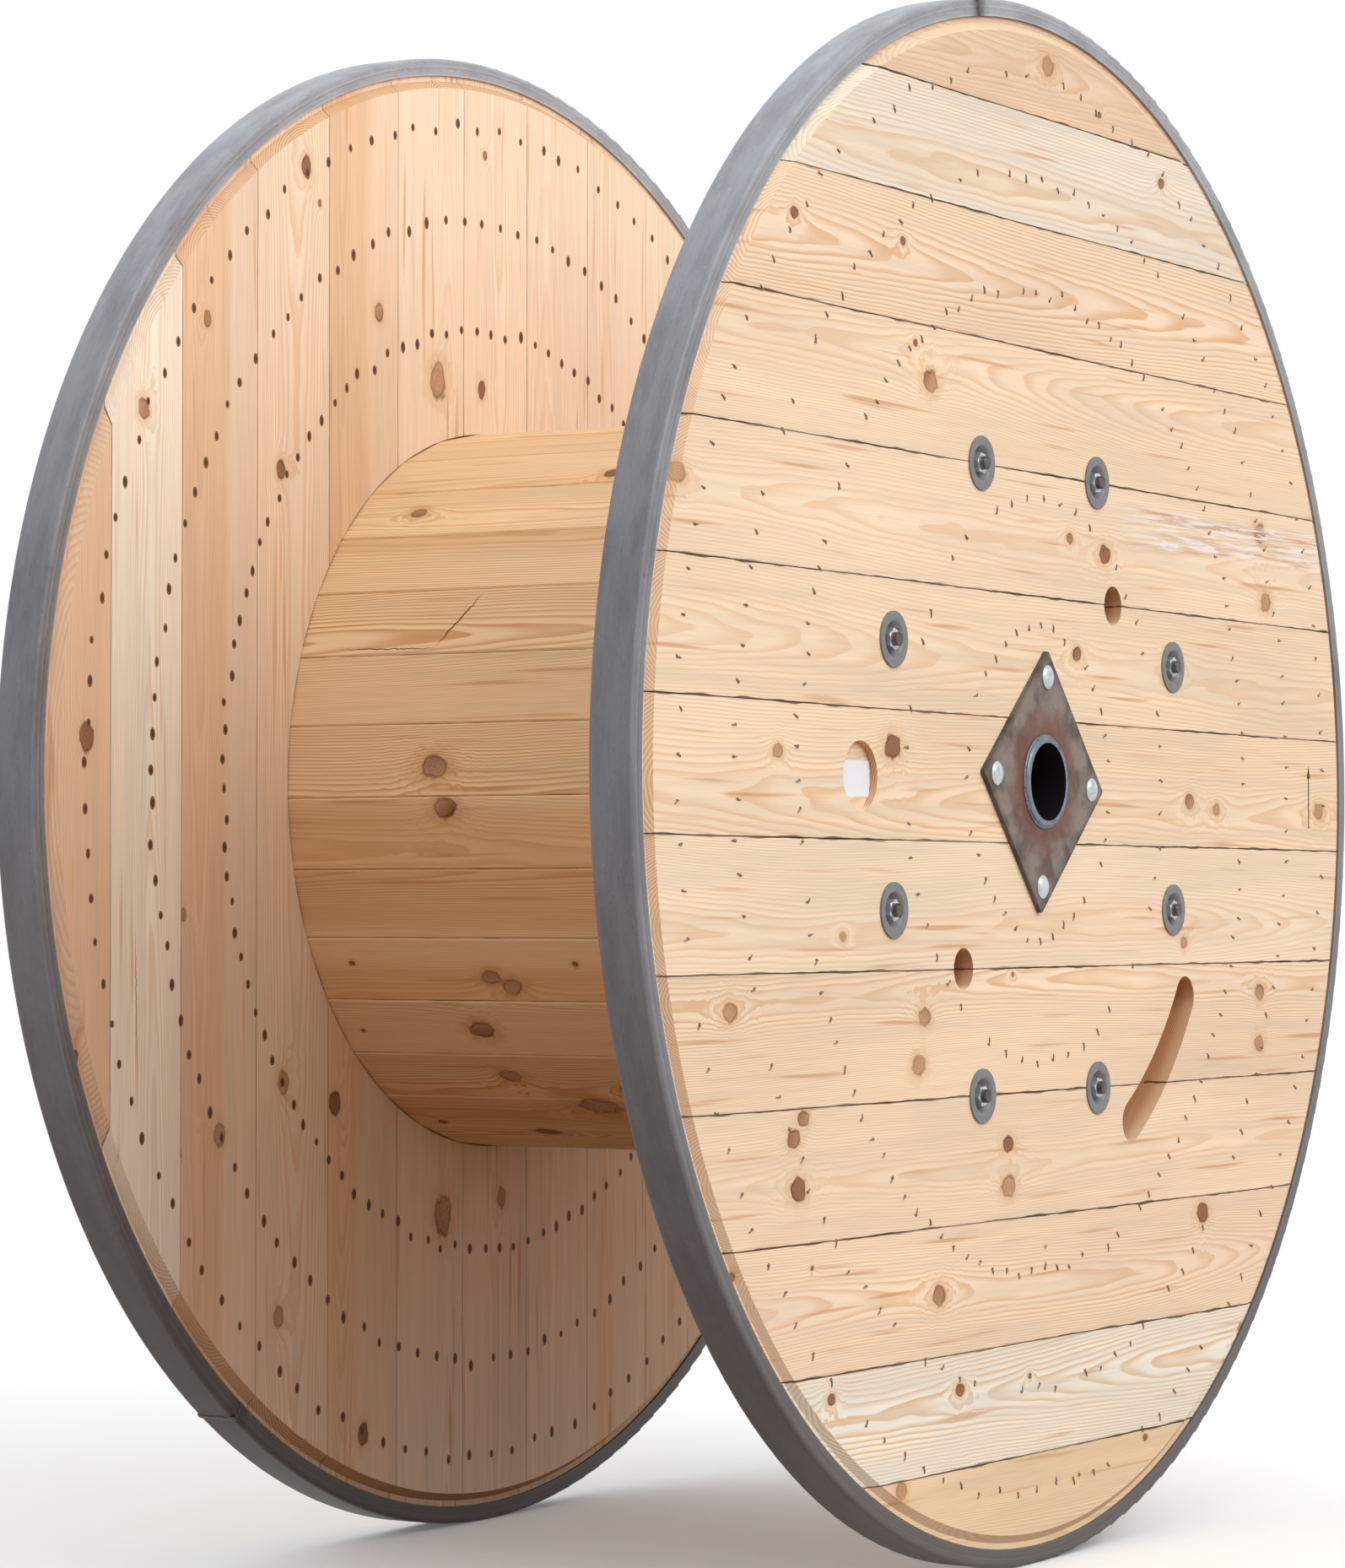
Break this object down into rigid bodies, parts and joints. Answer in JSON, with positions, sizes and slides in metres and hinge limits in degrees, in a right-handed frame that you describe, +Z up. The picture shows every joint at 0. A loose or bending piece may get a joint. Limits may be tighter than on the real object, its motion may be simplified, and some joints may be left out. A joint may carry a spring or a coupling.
{
  "type": "wooden cable drum",
  "caption": "Wooden cable drum with board flanges in steel rims, a staved core, tie rods with cup washers and a tubular axle bush in a square plate.",
  "frame": {"origin": "centre of the axle bore, midway between the flanges", "axes": "+Y along the axle bore, from the near flange with the cable slot to the far one; +Z up; the drum stands on its rims"},
  "size_m": [2.5, 1.165, 2.4998],
  "materials": {
    "face_pine": "planed pale pine, raw",
    "inside_pine": "planed pine, raw, a little darker",
    "stave_pine": "planed pine, raw, orange-brown",
    "rim_steel": "rolled steel with mill scale, blue-grey",
    "bush_steel": "rolled steel with mill scale, brown",
    "washer_steel": "pressed plain steel",
    "zinc_steel": "bright zinc plating"
  },
  "bodies": {
    "root": {"core_ring": "stave_pine", "core_staves": "stave_pine", "far_bush_plate": "bush_steel", "far_bush_tube": "bush_steel", "far_cup_washers": "washer_steel", "far_face_boards": "face_pine", "far_inside_board_01": "inside_pine", "far_inside_board_02": "inside_pine", "far_inside_board_03": "inside_pine", "far_inside_board_04": "inside_pine", "far_inside_board_05": "inside_pine", "far_inside_board_06": "inside_pine", "far_inside_board_07": "inside_pine", "far_inside_board_08": "inside_pine", "far_inside_board_09": "inside_pine", "far_inside_board_10": "inside_pine", "far_inside_board_11": "inside_pine", "far_inside_board_12": "inside_pine", "far_inside_board_13": "inside_pine", "far_plate_bolts": "zinc_steel", "far_plate_nuts": "zinc_steel", "far_plate_washers": "zinc_steel", "far_rim": "rim_steel", "far_rod_nuts": "zinc_steel", "near_bush_plate": "bush_steel", "near_bush_tube": "bush_steel", "near_cup_washers": "washer_steel", "near_face_board_01": "face_pine", "near_face_board_02": "face_pine", "near_face_board_03": "face_pine", "near_face_board_04": "face_pine", "near_face_board_05": "face_pine", "near_face_board_06": "face_pine", "near_face_board_07": "face_pine", "near_face_board_08": "face_pine", "near_face_board_09": "face_pine", "near_face_board_10": "face_pine", "near_face_board_11": "face_pine", "near_face_board_12": "face_pine", "near_face_board_13": "face_pine", "near_inside_boards": "inside_pine", "near_plate_bolts": "zinc_steel", "near_plate_nuts": "zinc_steel", "near_plate_washers": "zinc_steel", "near_rim": "rim_steel", "near_rod_nuts": "zinc_steel", "tie_rod_1": "zinc_steel", "tie_rod_2": "zinc_steel", "tie_rod_3": "zinc_steel", "tie_rod_4": "zinc_steel", "tie_rod_5": "zinc_steel", "tie_rod_6": "zinc_steel", "tie_rod_7": "zinc_steel", "tie_rod_8": "zinc_steel"}
  },
  "joints": []
}
